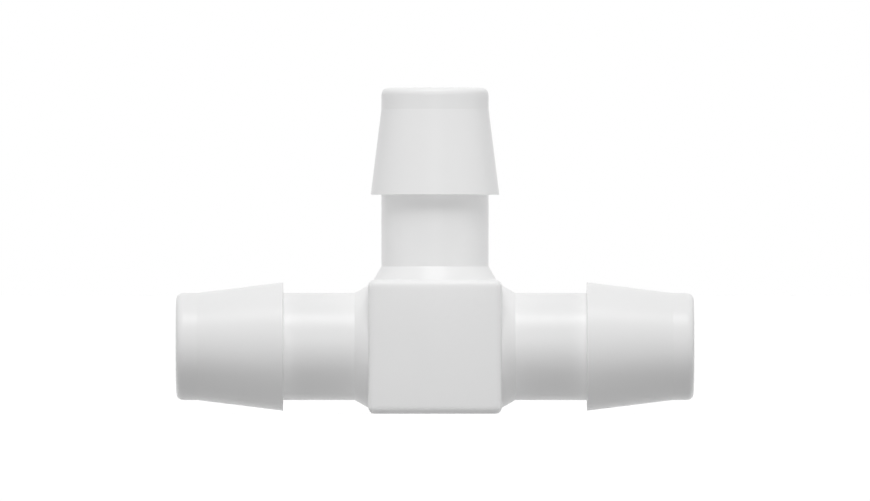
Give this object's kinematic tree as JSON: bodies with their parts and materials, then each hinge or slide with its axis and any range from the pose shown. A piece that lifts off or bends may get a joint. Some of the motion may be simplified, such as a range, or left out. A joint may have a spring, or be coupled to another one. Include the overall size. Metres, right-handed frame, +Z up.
{
  "type": "hose barb tee",
  "caption": "One-piece plastic tee that joins soft hoses: an in-line run and a square branch of equal barbed stems leave a cube with rounded edges.",
  "frame": {"origin": "where the axes of the run and the branch cross, in the middle of the cube", "axes": "+X along the run, +Z up the branch, +Y square to both, from the face that the picture shows to the back"},
  "size_m": [0.0614, 0.0158, 0.0386],
  "materials": {
    "white_plastic": "opaque white moulded plastic, fine satin, as it leaves a lightly blasted mould"
  },
  "bodies": {
    "root": {"tee_body": "white_plastic"}
  },
  "joints": []
}
